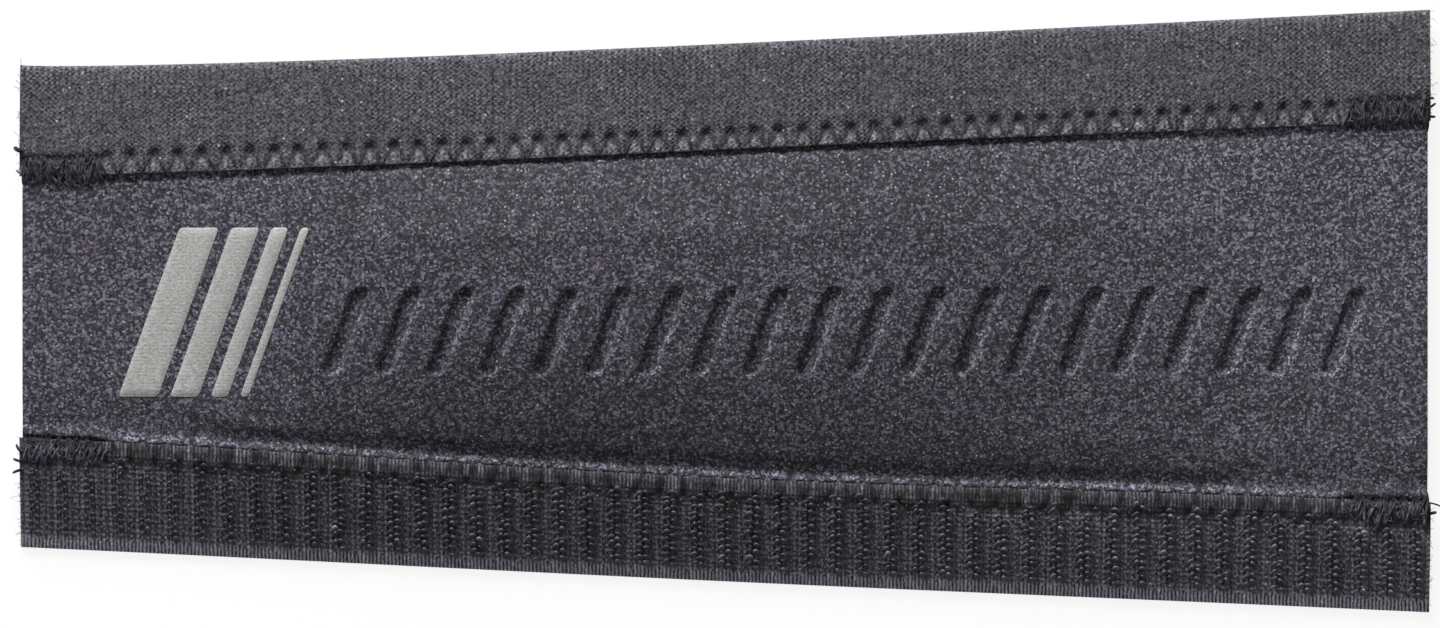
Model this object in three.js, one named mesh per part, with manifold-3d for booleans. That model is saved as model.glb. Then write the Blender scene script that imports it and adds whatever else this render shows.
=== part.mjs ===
// Chainstay protector, laid open: a tapered neoprene panel with a loop tape sewn on one long edge and
// a hook tape on the other. Wrapped round the tube, the hooks close on the loops.
// Millimetres. X runs from the narrow end to the wide end, Y across with the loop tape at +Y, Z up.
// The outer face looks up and the inner face lies on Z = 0.

import * as THREE from 'three';
import { mergeVertices } from 'three/addons/utils/BufferGeometryUtils.js';
import Module from 'manifold-3d';

// Outline of the whole wrap
const LENGTH = 250;
const NARROW_WIDTH = 85.4;
const WIDE_WIDTH = 106.8;
const NARROW_END_SHIFT = 0.9; // the narrow end sits this far towards the loop tape
const LOOP_EDGE_BOW = 1.3; // how far the loop tape's outer edge draws in between its ends
const LOOP_SEAM_BOW = 0.55;
const LOOP_BOW_POWER = 0.6; // under 1, the loop side's bow is deepest near the narrow end
const HOOK_EDGE_BOW = 0.3; // how far the hook tape's outer edge swells between its ends
const HOOK_SEAM_BOW = 1.4;

// Gap kept between pieces that touch on the real object
const CLEARANCE = 0.3;

// Sewing thread
const THREAD = 0.45;
const THREAD_LIFT = 0.05; // the bobbin thread's height above the ground
const STITCH_PERIOD = 4.26; // one full zigzag
const LOOP_NEEDLE_REACH = 3.8; // inner needle points, from the tape's edge
const HOOK_NEEDLE_REACH = 3.2;
const NEEDLE_OVERSHOOT = 0.5; // outer needle points, past the tape's edge into the panel

// Neoprene panel
const PANEL_THICK = 3;
const PANEL_END_INSET = 0.4; // the panel's cut ends stand this far inside the tapes' ends
const SEAM_MARGIN = 1.2; // from the inner needle points to the panel's hidden edge
const PINCHED_THICK = 1.6; // panel thickness under the stitches
const BEAD_OFFSET = 0.8; // crest of the swelling beside the hook tape, from the tape's edge
const BEAD_HEIGHT = 0.6; // above the pinched face
const VALLEY_OFFSET = 2.2;
const VALLEY_DEPTH = 0.5;
const HOOK_SHOULDER = 6; // distance from the hook tape at which the panel is full again
const LOOP_SHOULDER = 5;
const LOOP_EASE = 1.2; // distance from the loop tape at which the outer face is full again
const CROWN_HEIGHT = 3.8; // bulge of the panel above the hook seam
const CROWN_SHARES = [0.2, 0.55, 0.8, 0.95, 1, 0.36]; // across, from hook shoulder to loop shoulder
const CROWN_START_GAP = 5.8; // from the reflective bars to the crown's start
const CROWN_RISE = 56; // length over which the crown swells
const CROWN_FALL = 95;
const CROWN_END_MARGIN = 7; // from the crown's end to the wide end
const PANEL_STEPS = 36;

// Tapes
const TAPE_WIDTH = 19.3;
const TAPE_BASE = 0.6; // woven or knitted ground, without pile or hooks
const PILE = 1.5; // loop pile, and hook height
const LAP_RELEASE = 0.7; // the tape leaves the panel this far past the panel's edge
const LOOP_SETTLE = 12; // over this width the loop tape comes down to the ground
const HOOK_SETTLE = 12;
const TAPE_STEPS = 24;

// Hook field
const HOOK_PITCH = 4.9; // from one pair of hook columns to the next
const HOOK_ROW_WIDTH = 2.8;
const HOOK_SELVAGE = 1.8; // bare edge along the outer side
const HOOK_FLANK = 0.5; // the hooks' rise and fall at the field's borders

// Bar tacks at the seam ends
const TACK_LENGTH = 14;
const TACK_END_INSET = 0.4;
const TACK_THROWS = 13;
const TACK_BASE = 0.4;
const TACK_HEIGHT = 0.9;
const TACK_SLANT = 0.12; // shear of the throws
const LOOP_TACK_MARGIN = { outside: 1.5, inside: 0.8 }; // beyond the needle points, across the seam
const HOOK_TACK_MARGIN = { outside: 0.3, inside: 2 };

// Debossed bars and reflective bars, all leaning the same way
const SLANT = Math.tan(THREE.MathUtils.degToRad(20));
const DEBOSS_GAP = 2.2; // from the reflective bars to the first debossed bar
const DEBOSS_END_MARGIN = 10.4; // the last bar keeps at least this far from the wide end
const DEBOSS_PITCH = 9.3;
const DEBOSS_WIDTH = 3;
const DEBOSS_HEIGHT = 15.4;
const DEBOSS_DEPTH = 0.7;
const DEBOSS_Y = -3.6; // middle of the row
const FILM_START = 17.4; // from the narrow end to the first reflective bar
const FILM_WIDTHS = [7, 5, 3, 1.5];
const FILM_GAP = 2.2;
const FILM_HEIGHT = 30;
const FILM_CORNER = 0.7;
const FILM_THICK = 0.2;
const FILM_Y = -0.2;

// Sizes that follow from the ones above
const LAP = Math.max(LOOP_NEEDLE_REACH, HOOK_NEEDLE_REACH) + SEAM_MARGIN; // panel under each tape
const TAPE_LEAVE = LAP + LAP_RELEASE;
const TACK_INNER_END = LENGTH / 2 - TACK_END_INSET - TACK_LENGTH;
const FILM_ROW = FILM_WIDTHS.reduce((sum, width) => sum + width + FILM_GAP, -FILM_GAP);
const FILM_SPAN = FILM_ROW + FILM_HEIGHT * SLANT;
const FILM_END = -LENGTH / 2 + FILM_START + FILM_SPAN;
const DEBOSS_SPAN = DEBOSS_WIDTH + DEBOSS_HEIGHT * SLANT;
const CROWN_START = FILM_END + CROWN_START_GAP;
const CROWN_END = LENGTH / 2 - CROWN_END_MARGIN;
const PINCH_BOTTOM = THREAD_LIFT + THREAD + CLEARANCE;
const PINCH_TOP = PINCH_BOTTOM + PINCHED_THICK;
const LAP_UNDER = PINCH_TOP + CLEARANCE;
const LAP_TOP = LAP_UNDER + TAPE_BASE;
const NEEDLE_THREAD_Z = LAP_TOP + CLEARANCE + THREAD / 2;
const BOBBIN_THREAD_Z = THREAD_LIFT + THREAD / 2;

const wasm = await Module();
wasm.setup();

// Place along the wrap, 0 at the narrow end and 1 at the wide end
const along = (x) => THREE.MathUtils.clamp(x / LENGTH + 0.5, 0, 1);
const halfWidth = (x) => THREE.MathUtils.lerp(NARROW_WIDTH, WIDE_WIDTH, along(x)) / 2;
const centreLine = (x) => NARROW_END_SHIFT * (1 - along(x));
const earlyBow = (x) => Math.sin(Math.PI * along(x) ** LOOP_BOW_POWER);
const evenBow = (x) => Math.sin(Math.PI * along(x)) ** 2;

// The four long edges: outer edge and panel-side edge of each tape
const loopOuter = (x) => centreLine(x) + halfWidth(x) - LOOP_EDGE_BOW * earlyBow(x);
const loopInner = (x) => centreLine(x) + halfWidth(x) - TAPE_WIDTH - LOOP_SEAM_BOW * earlyBow(x);
const hookOuter = (x) => centreLine(x) - halfWidth(x) - HOOK_EDGE_BOW * evenBow(x);
const hookInner = (x) => centreLine(x) - halfWidth(x) + TAPE_WIDTH - HOOK_SEAM_BOW * evenBow(x);

// Each tape's two edges: the one on the panel and the outer one
const LOOP_SIDE = { inner: loopInner, outer: loopOuter };
const HOOK_SIDE = { inner: hookInner, outer: hookOuter };

// Y of a point on a tape, at a distance in from its panel-side edge
function acrossTape(side, x, distance) {
  const share = distance / TAPE_WIDTH;
  return side.inner(x) + share * (side.outer(x) - side.inner(x));
}

// Geometry with shared vertices, ready for a boolean or a mesh
function welded(geometry) {
  geometry.deleteAttribute('normal');
  geometry.deleteAttribute('uv');
  return mergeVertices(geometry, 1e-4);
}

function toManifold(geometry) {
  const solid = welded(geometry);
  const vertProperties = new Float32Array(solid.attributes.position.array);
  const triVerts = new Uint32Array(solid.index.array);
  return new wasm.Manifold(new wasm.Mesh({ numProp: 3, vertProperties, triVerts }));
}

function toGeometry(manifold) {
  const mesh = manifold.getMesh();
  const geometry = new THREE.BufferGeometry();
  geometry.setAttribute('position', new THREE.BufferAttribute(mesh.vertProperties, 3));
  geometry.setIndex(new THREE.BufferAttribute(mesh.triVerts, 1));
  return geometry;
}

// Moves every vertex to the place that a function gives for it
function mapVertices(geometry, place) {
  const position = geometry.attributes.position;
  const point = new THREE.Vector3();
  for (let i = 0; i < position.count; i += 1) {
    point.fromBufferAttribute(position, i);
    place(point);
    position.setXYZ(i, point.x, point.y, point.z);
  }
  return geometry;
}

// Extrudes an outline drawn across the wrap, as [distance from the tape's edge, height], along X
// from start to end, and lays it along the tape
function tapeSolid(side, outline, start, end, steps) {
  const shape = new THREE.Shape(outline.map(([distance, z]) => new THREE.Vector2(distance, z)));
  const geometry = new THREE.ExtrudeGeometry(shape, {
    depth: end - start,
    steps,
    bevelEnabled: false,
  });
  mapVertices(geometry, (point) => {
    const x = start + point.z;
    point.set(x, acrossTape(side, x, point.x), point.y);
  });
  if (side.outer(0) < side.inner(0)) turnInsideOut(geometry);
  return geometry;
}

// Swaps two corners of every loose triangle, for a shape that a mapping has mirrored
function turnInsideOut(geometry) {
  const position = geometry.attributes.position;
  const first = new THREE.Vector3();
  const second = new THREE.Vector3();
  for (let i = 0; i < position.count; i += 3) {
    first.fromBufferAttribute(position, i);
    second.fromBufferAttribute(position, i + 1);
    position.setXYZ(i, second.x, second.y, second.z);
    position.setXYZ(i + 1, first.x, first.y, first.z);
  }
}

// How much of the crown stands at a place along X
function crownAlong(x) {
  const rise = THREE.MathUtils.smoothstep(x, CROWN_START, CROWN_START + CROWN_RISE);
  const fall = THREE.MathUtils.smoothstep(x, CROWN_END - CROWN_FALL, CROWN_END);
  return CROWN_HEIGHT * rise * (1 - fall);
}

// The panel's cross-section at X, from the hook side to the loop side
function panelSection(x) {
  const low = hookInner(x);
  const high = loopInner(x);
  const crown = crownAlong(x);
  const from = low + HOOK_SHOULDER;
  const to = high - LOOP_SHOULDER;
  const middle = CROWN_SHARES.map((share, i) => ({
    y: THREE.MathUtils.lerp(from, to, i / (CROWN_SHARES.length - 1)),
    top: PANEL_THICK + share * crown,
    bottom: share * crown,
  }));
  return [
    { y: low - LAP, top: PINCH_TOP, bottom: PINCH_BOTTOM },
    { y: low, top: PINCH_TOP, bottom: PINCH_BOTTOM },
    { y: low + BEAD_OFFSET, top: PINCH_TOP + BEAD_HEIGHT, bottom: PINCH_BOTTOM },
    { y: low + VALLEY_OFFSET, top: PANEL_THICK - VALLEY_DEPTH, bottom: 0 },
    ...middle,
    { y: high - LOOP_EASE, top: PANEL_THICK, bottom: PINCH_BOTTOM },
    { y: high, top: PINCH_TOP, bottom: PINCH_BOTTOM },
    { y: high + LAP, top: PINCH_TOP, bottom: PINCH_BOTTOM },
  ];
}

// Height of the panel's outer face at a point
function panelTop(x, y) {
  const section = panelSection(x);
  const next = Math.max(1, section.findIndex((stop) => stop.y >= y));
  const a = section[next - 1];
  const b = section[next];
  return THREE.MathUtils.lerp(a.top, b.top, (y - a.y) / (b.y - a.y));
}

// Rounded bar that leans to the right, drawn round its own centre
function slantedBar(width, height, corner) {
  const x = width / 2;
  const y = height / 2;
  const bar = new THREE.Shape();
  bar.moveTo(x, corner - y);
  bar.lineTo(x, 0);
  bar.lineTo(x, y - corner);
  bar.absarc(x - corner, y - corner, corner, 0, Math.PI / 2);
  bar.absarc(corner - x, y - corner, corner, Math.PI / 2, Math.PI);
  bar.lineTo(-x, 0);
  bar.lineTo(-x, corner - y);
  bar.absarc(corner - x, corner - y, corner, Math.PI, 1.5 * Math.PI);
  bar.absarc(x - corner, corner - y, corner, 1.5 * Math.PI, 2 * Math.PI);
  return bar;
}

function leanGeometry(geometry) {
  return mapVertices(geometry, (point) => {
    point.x += point.y * SLANT;
  });
}

// One debossed bar's cutter: its floor follows the panel's face at the deboss depth
function debossCutter(centreX) {
  const bar = slantedBar(DEBOSS_WIDTH, DEBOSS_HEIGHT, DEBOSS_WIDTH / 2);
  const cutter = new THREE.ExtrudeGeometry(bar, { depth: 1, bevelEnabled: false, curveSegments: 3 });
  leanGeometry(cutter);
  cutter.translate(centreX, DEBOSS_Y, 0);
  mapVertices(cutter, (point) => {
    const face = panelTop(point.x, point.y);
    point.z = point.z > 0 ? face + DEBOSS_DEPTH : face - DEBOSS_DEPTH;
  });
  return toManifold(cutter);
}

function makePanel() {
  const rows = panelSection(0).length - 1;
  const sheet = new THREE.BoxGeometry(1, 1, 1, PANEL_STEPS, rows, 1);
  mapVertices(sheet, (point) => {
    const x = point.x * (LENGTH - 2 * PANEL_END_INSET);
    const stop = panelSection(x)[Math.round((point.y + 0.5) * rows)];
    point.set(x, stop.y, point.z > 0 ? stop.top : stop.bottom);
  });
  let panel = toManifold(sheet);
  const first = FILM_END + DEBOSS_GAP + DEBOSS_SPAN / 2;
  const last = LENGTH / 2 - DEBOSS_END_MARGIN - DEBOSS_SPAN / 2;
  for (let x = first; x <= last; x += DEBOSS_PITCH) {
    panel = panel.subtract(debossCutter(x));
  }
  return toGeometry(panel);
}

// Loop tape: its ground lies on the panel, past which the pile hangs down to the ground
function makeLoopTape() {
  const down = TAPE_LEAVE + LOOP_SETTLE;
  const outline = [
    [0, LAP_UNDER],
    [TAPE_LEAVE, LAP_UNDER],
    [TAPE_LEAVE, LAP_UNDER - PILE],
    [down, 0],
    [TAPE_WIDTH, 0],
    [TAPE_WIDTH, PILE + TAPE_BASE],
    [down, PILE + TAPE_BASE],
    [TAPE_LEAVE, LAP_TOP],
    [0, LAP_TOP],
  ];
  return tapeSolid(LOOP_SIDE, outline, -LENGTH / 2, LENGTH / 2, TAPE_STEPS);
}

// Height of the hook tape's woven ground: level on the panel, then sloping down to the ground
function hookGround(distance) {
  const fall = THREE.MathUtils.clamp((distance - TAPE_LEAVE) / HOOK_SETTLE, 0, 1);
  return THREE.MathUtils.lerp(LAP_TOP, TAPE_BASE, fall);
}

// Where the hooks start at a place along X: clear of the zigzag, and of the bar tacks at the ends
function hookFieldStart(x) {
  const besideTack = Math.abs(x) > TACK_INNER_END - HOOK_PITCH / 2;
  const thread = HOOK_NEEDLE_REACH + threadBreadth(HOOK_NEEDLE_REACH) / 2;
  return CLEARANCE + (besideTack ? HOOK_NEEDLE_REACH + HOOK_TACK_MARGIN.inside : thread);
}

// One pair of hook columns, standing on the tape's ground and sunk a little into it
function hookColumns(x) {
  const root = TAPE_BASE / 2;
  const start = hookFieldStart(x);
  const end = TAPE_WIDTH - HOOK_SELVAGE;
  const crestStart = start + HOOK_FLANK;
  const crestEnd = end - HOOK_FLANK;
  const bends = [TAPE_LEAVE, TAPE_LEAVE + HOOK_SETTLE];
  const feet = [start, ...bends.filter((bend) => bend > start && bend < end), end];
  const tips = [crestStart, ...bends.filter((bend) => bend > crestStart && bend < crestEnd), crestEnd];
  const outline = [
    ...feet.map((distance) => [distance, hookGround(distance) - root]),
    [end, hookGround(end)],
    ...tips.reverse().map((distance) => [distance, hookGround(distance) + PILE]),
    [start, hookGround(start)],
  ];
  return tapeSolid(HOOK_SIDE, outline, x - HOOK_ROW_WIDTH / 2, x + HOOK_ROW_WIDTH / 2, 1);
}

// Hook tape: its woven ground, with the hooks on top
function makeHookTape() {
  const stops = [0, TAPE_LEAVE, TAPE_LEAVE + HOOK_SETTLE, TAPE_WIDTH];
  const outline = [
    ...stops.map((distance) => [distance, hookGround(distance) - TAPE_BASE]),
    ...stops.reverse().map((distance) => [distance, hookGround(distance)]),
  ];
  let tape = toManifold(tapeSolid(HOOK_SIDE, outline, -LENGTH / 2, LENGTH / 2, TAPE_STEPS));
  const columns = Math.floor((LENGTH - HOOK_ROW_WIDTH) / HOOK_PITCH);
  for (let i = 0; i <= columns; i += 1) {
    const x = (i - columns / 2) * HOOK_PITCH;
    tape = tape.add(toManifold(hookColumns(x)));
  }
  return toGeometry(tape);
}

// A path that runs straight from each point to the next, with one step a point
class StitchPath extends THREE.Curve {
  constructor(points) {
    super();
    this.points = points;
  }

  getPoint(t, target = new THREE.Vector3()) {
    const last = this.points.length - 1;
    const i = Math.min(Math.floor(t * last), last - 1);
    return target.lerpVectors(this.points[i], this.points[i + 1], t * last - i);
  }

  getUtoTmapping(u) {
    return u;
  }
}

// Breadth of a zigzag thread cut square to the seam: it leans, so that is more than its thickness
function threadBreadth(reach) {
  const half = STITCH_PERIOD / 2;
  return (THREAD * Math.hypot(reach + NEEDLE_OVERSHOOT, half)) / half;
}

// Zigzag thread between the two bar tacks of a seam, in one plane
function makeZigzag(side, reach, z) {
  const half = STITCH_PERIOD / 2;
  const end = TACK_INNER_END - CLEARANCE - THREAD;
  const legs = Math.floor((2 * end) / half);
  const points = [];
  for (let i = 0; i <= legs; i += 1) {
    const x = (i - legs / 2) * half;
    const distance = i % 2 === 0 ? reach : -NEEDLE_OVERSHOOT;
    points.push(new THREE.Vector3(x, acrossTape(side, x, distance), z));
  }
  const breadth = threadBreadth(reach);
  const section = new THREE.Shape([
    new THREE.Vector2(THREAD / 2, 0),
    new THREE.Vector2(0, breadth / 2),
    new THREE.Vector2(-THREAD / 2, 0),
    new THREE.Vector2(0, -breadth / 2),
  ]);
  return new THREE.ExtrudeGeometry(section, {
    steps: legs,
    extrudePath: new StitchPath(points),
    bevelEnabled: false,
  });
}

// Bar tack drawn round its own centre: a flat block of thread with a ridge for each throw
function makeTack(span) {
  const pitch = TACK_LENGTH / TACK_THROWS;
  const breadth = span.to - span.from;
  const outline = new THREE.Shape();
  outline.moveTo(-TACK_LENGTH / 2, 0);
  outline.lineTo(-TACK_LENGTH / 2, TACK_BASE);
  for (let i = 0; i < TACK_THROWS; i += 1) {
    const start = i * pitch - TACK_LENGTH / 2;
    outline.lineTo(start + pitch / 2, TACK_HEIGHT);
    outline.lineTo(start + pitch, TACK_BASE);
  }
  outline.lineTo(TACK_LENGTH / 2, 0);
  const tack = new THREE.ExtrudeGeometry(outline, { depth: breadth, bevelEnabled: false });
  tack.translate(0, 0, -breadth / 2);
  tack.rotateX(Math.PI / 2);
  return mapVertices(tack, (point) => {
    point.x += point.y * TACK_SLANT * (1 - Math.abs(point.x) / (TACK_LENGTH / 2));
  });
}

const cloth = (color) => new THREE.MeshStandardMaterial({ color, roughness: 0.9, metalness: 0 });
const panelCloth = cloth(0x504e56);
const loopCloth = cloth(0x525258);
const hookNylon = new THREE.MeshStandardMaterial({ color: 0x333238, roughness: 0.6, metalness: 0 });
const threadBlack = new THREE.MeshStandardMaterial({ color: 0x1e1e22, roughness: 0.7, metalness: 0 });
const reflectiveFilm = new THREE.MeshStandardMaterial({ color: 0xaeadac, roughness: 0.5, metalness: 0.1 });

function namedMesh(name, geometry, material) {
  const mesh = new THREE.Mesh(welded(geometry), material.clone());
  mesh.name = name;
  return mesh;
}

// Seam: zigzag needle thread on top, bobbin thread underneath, and a bar tack at each end
function makeSeam(name, side, reach, tackMargin) {
  const seam = new THREE.Group();
  const tackSpan = { from: -NEEDLE_OVERSHOOT - tackMargin.outside, to: reach + tackMargin.inside };
  const needle = makeZigzag(side, reach, NEEDLE_THREAD_Z);
  const bobbin = makeZigzag(side, reach, BOBBIN_THREAD_Z);
  seam.add(namedMesh(`${name}_thread`, needle, threadBlack));
  seam.add(namedMesh(`${name}_bobbin_thread`, bobbin, threadBlack));
  for (const [place, way] of [['left', -1], ['right', 1]]) {
    const tack = namedMesh(`${name}_tack_${place}`, makeTack(tackSpan), threadBlack);
    const x = way * (TACK_INNER_END + TACK_LENGTH / 2);
    const middle = (tackSpan.from + tackSpan.to) / 2;
    tack.position.set(x, acrossTape(side, x, middle), LAP_TOP + CLEARANCE);
    tack.rotation.z = Math.atan2(side.inner(x + 1) - side.inner(x - 1), 2);
    seam.add(tack);
  }
  return seam;
}

// Row of reflective bars, each one narrower than the last, standing on the panel's flat face
function makeReflectiveBars() {
  const bars = new THREE.Group();
  let left = -FILM_ROW / 2;
  FILM_WIDTHS.forEach((width, i) => {
    const bar = slantedBar(width, FILM_HEIGHT, FILM_CORNER);
    const film = new THREE.ExtrudeGeometry(bar, {
      depth: FILM_THICK,
      bevelEnabled: false,
      curveSegments: 3,
    });
    const mesh = namedMesh(`reflective_bar_${i + 1}`, leanGeometry(film), reflectiveFilm);
    mesh.position.x = left + width / 2;
    left += width + FILM_GAP;
    bars.add(mesh);
  });
  bars.position.set(FILM_END - FILM_SPAN / 2, FILM_Y, PANEL_THICK);
  return bars;
}

const protector = new THREE.Group();
protector.add(namedMesh('neoprene_panel', makePanel(), panelCloth));
protector.add(namedMesh('loop_tape', makeLoopTape(), loopCloth));
protector.add(namedMesh('hook_tape', makeHookTape(), hookNylon));
protector.add(makeSeam('loop_seam', LOOP_SIDE, LOOP_NEEDLE_REACH, LOOP_TACK_MARGIN));
protector.add(makeSeam('hook_seam', HOOK_SIDE, HOOK_NEEDLE_REACH, HOOK_TACK_MARGIN));
protector.add(makeReflectiveBars());

export default protector;
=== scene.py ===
import math

import bmesh
import bpy
import numpy as np
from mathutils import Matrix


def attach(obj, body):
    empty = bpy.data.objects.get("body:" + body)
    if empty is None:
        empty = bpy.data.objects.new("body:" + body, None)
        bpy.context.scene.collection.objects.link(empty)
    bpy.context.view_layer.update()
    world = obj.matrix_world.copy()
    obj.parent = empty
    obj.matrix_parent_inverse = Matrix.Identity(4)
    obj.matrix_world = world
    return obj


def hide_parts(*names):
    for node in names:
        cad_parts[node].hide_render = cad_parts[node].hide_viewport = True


# Looks of the open chainstay protector. Sizes are millimetres here, and a piece becomes metres when
# it is finished. X runs from the narrow end to the wide end, Y across with the loop tape at +Y, Z up.

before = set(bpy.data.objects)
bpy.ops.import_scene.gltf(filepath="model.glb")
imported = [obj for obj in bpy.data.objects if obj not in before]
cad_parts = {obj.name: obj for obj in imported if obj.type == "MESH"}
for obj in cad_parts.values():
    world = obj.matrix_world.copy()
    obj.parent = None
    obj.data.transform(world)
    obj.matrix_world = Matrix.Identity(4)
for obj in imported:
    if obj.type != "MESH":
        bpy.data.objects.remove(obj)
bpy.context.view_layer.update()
METRE = 1000.0

# Outline, as in the part's source
LENGTH = 250
END_X = LENGTH / 2
NARROW_WIDTH = 85.4
WIDE_WIDTH = 106.8
NARROW_END_SHIFT = 0.9
LOOP_EDGE_BOW = 1.3
LOOP_SEAM_BOW = 0.55
LOOP_BOW_POWER = 0.6
HOOK_EDGE_BOW = 0.3
HOOK_SEAM_BOW = 1.4

# Tapes and seams, as in the part's source
TAPE_WIDTH = 19.3
TAPE_BASE = 0.6
PILE = 1.5
LAP = 5.0
TAPE_LEAVE = 5.7
LAP_TOP = 3.3
PINCH_TOP = 2.4
PINCH_BOTTOM = 0.8
THREAD = 0.45
STITCH_PERIOD = 4.26
ZIGZAG_LEGS = 103
LOOP_NEEDLE_REACH = 3.8
HOOK_NEEDLE_REACH = 3.2
NEEDLE_OVERSHOOT = 0.5
BOBBIN_Z = 0.275
TACK_LENGTH = 14
TACK_END_INSET = 0.4

# Panel, as in the part's source
PANEL_THICK = 3
PANEL_END_INSET = 0.4
CROWN_HEIGHT = 3.8
CROWN_END = 118
CROWN_FALL = 95
SLANT = math.tan(math.radians(20))
DEBOSS_COUNT = 20
DEBOSS_FIRST_X = -67.08
DEBOSS_PITCH = 9.3
DEBOSS_WIDTH = 3
DEBOSS_HEIGHT = 15.4
DEBOSS_DEPTH = 0.7
DEBOSS_Y = -3.6
FILM_MIDDLE_X = -90.59
FILM_WIDTHS = [7, 5, 3, 1.5]
FILM_GAP = 2.2
FILM_HEIGHT = 30
FILM_CORNER = 0.7
FILM_THICK = 0.2
FILM_Y = -0.2

# Weave of the hook tape and knit of the loop tape
HOOK_PITCH = 4.9
HOOK_RIBS = 379
HOOK_RIB = LENGTH / HOOK_RIBS
WEFT = 0.68
WALES = 235
WALE = LENGTH / WALES
COURSE = 0.87

# Soft form that only the scene shows
CROWN_START = -104
CROWN_RISE = 62
CROWN_PEAK = 0.74  # place of the crown's top, from the hook seam at 0 to the loop seam at 1
BEAD_CREST = 0.45  # from the hook tape's edge
BEAD_NEAR = 0.75  # width of the bead towards the tape
BEAD_FAR = 1.0  # and towards the panel
BEAD_HEIGHT = 0.58
NOTCH_WIDTH = 0.4
DEBOSS_LIP = 0.28  # rounding outside a debossed bar's wall
DEBOSS_WALL = 0.38  # and inside it
FILM_SUNK = 0.12  # pressed into the cloth
LOOP_OVERHANG = 0.25  # of the loop tape's inner edge, past the line of the seam
PLY_TURN = 1.2  # length of thread in which its plies turn once

# Photograph: 1440 px wide, straight down
PHOTO_WIDTH_MM = 255.3
PHOTO_CENTRE = (-0.9, -0.5)
CAMERA_HEIGHT = 1200
SENSOR = 36


# Outline functions

def smooth(value, start, end):
    share = np.clip((value - start) / (end - start), 0, 1)
    return share * share * (3 - 2 * share)


def fade(value, start, end):
    return 1 - smooth(value, start, end)


def along(x):
    return np.clip(x / LENGTH + 0.5, 0, 1)


def half_width(x):
    return (NARROW_WIDTH + (WIDE_WIDTH - NARROW_WIDTH) * along(x)) / 2


def centre_line(x):
    return NARROW_END_SHIFT * (1 - along(x))


def early_bow(x):
    return np.sin(np.pi * along(x) ** LOOP_BOW_POWER)


def even_bow(x):
    return np.sin(np.pi * along(x)) ** 2


def loop_outer(x):
    return centre_line(x) + half_width(x) - LOOP_EDGE_BOW * early_bow(x)


def loop_inner(x):
    return centre_line(x) + half_width(x) - TAPE_WIDTH - LOOP_SEAM_BOW * early_bow(x)


def hook_outer(x):
    return centre_line(x) - half_width(x) - HOOK_EDGE_BOW * even_bow(x)


def hook_inner(x):
    return centre_line(x) - half_width(x) + TAPE_WIDTH - HOOK_SEAM_BOW * even_bow(x)


LOOP_SIDE = (loop_inner, loop_outer)
HOOK_SIDE = (hook_inner, hook_outer)


def across_tape(side, x, distance):
    inner, outer = side
    return inner(x) + distance / TAPE_WIDTH * (outer(x) - inner(x))


def on_tape(side, x, distance, z):
    return np.stack([x, across_tape(side, x, distance), z], axis=-1)


def outer_part(distance, start, end):
    """0 inside a tape, rising to 1 from start to end, which are measured from its outer edge."""
    return smooth(distance, TAPE_WIDTH - start, TAPE_WIDTH - end)


def bump_at(value, middle, width):
    return np.exp(-(((value - middle) / width) ** 2))


def stitch_phase(x):
    """Place in the zigzag: 0 at a needle point in the tape, 0.5 or -0.5 at one past its edge."""
    phase = x / STITCH_PERIOD + ZIGZAG_LEGS / 4
    return phase - np.round(phase)


def zigzag_span(x):
    """1 where the zigzag runs, 0 under the bar tacks."""
    inner_end = END_X - TACK_END_INSET - TACK_LENGTH
    return fade(np.abs(x), inner_end - 1.5, inner_end + 0.5)


def edge_notch(x):
    """1 where the thread cuts into the panel past a tape's edge, falling to 0 around it."""
    return bump_at(np.abs(stitch_phase(x)), 0.5, NOTCH_WIDTH / STITCH_PERIOD) * zigzag_span(x)


def waves(x, y, size, seed):
    """Slow random waves, the same on each run."""
    rng = np.random.default_rng(seed)
    total = np.zeros(np.broadcast(x, y).shape)
    count = 7
    for _ in range(count):
        turn, shift, stretch = rng.uniform(0, 2 * np.pi, 2).tolist() + [rng.uniform(0.7, 1.4)]
        total += np.sin((x * np.cos(turn) + y * np.sin(turn)) * 2 * np.pi / size * stretch + shift)
    return total / count


def waves_along(x, size, seed):
    return waves(x, x * 0, size, seed)


# Where the throws of the bar tacks begin and end, from a tape's inner edge: left tack, right tack
LOOP_TACKS = ((-2.4, 2.9), (-1.5, 3.8))
HOOK_TACKS = ((-0.3, 4.1), (-1.2, 3.8))


# The tones also use this mask for painted shade where the tacks pull the cloth down.
def tack_pull(x, distance, tacks, width, at_start=False):
    """1 where the bar tacks pull the cloth down: at the end of their throws inside the tape, or at their
    start."""
    under_tack = 1 - zigzag_span(x)
    edge = 0 if at_start else 1
    ends = np.where(x < 0, tacks[0][edge], tacks[1][edge]) + (0.4 if at_start else -0.4)
    ragged = distance + 0.55 * waves_along(x, 1.6, 91) + 0.4 * waves(x, distance, 0.9, 92)
    return under_tack * bump_at(ragged, ends, width)


# Panel surface

def crown(x, share):
    run = smooth(x, CROWN_START, CROWN_START + CROWN_RISE)
    run = run * fade(x, CROWN_END - CROWN_FALL, CROWN_END)
    rise = 1 - np.clip(1 - share / CROWN_PEAK, 0, 1) ** 2
    fall = 1 - np.clip((share - CROWN_PEAK) / (1 - CROWN_PEAK), 0, 1) ** 1.2
    return CROWN_HEIGHT * run * rise * fall


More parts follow.
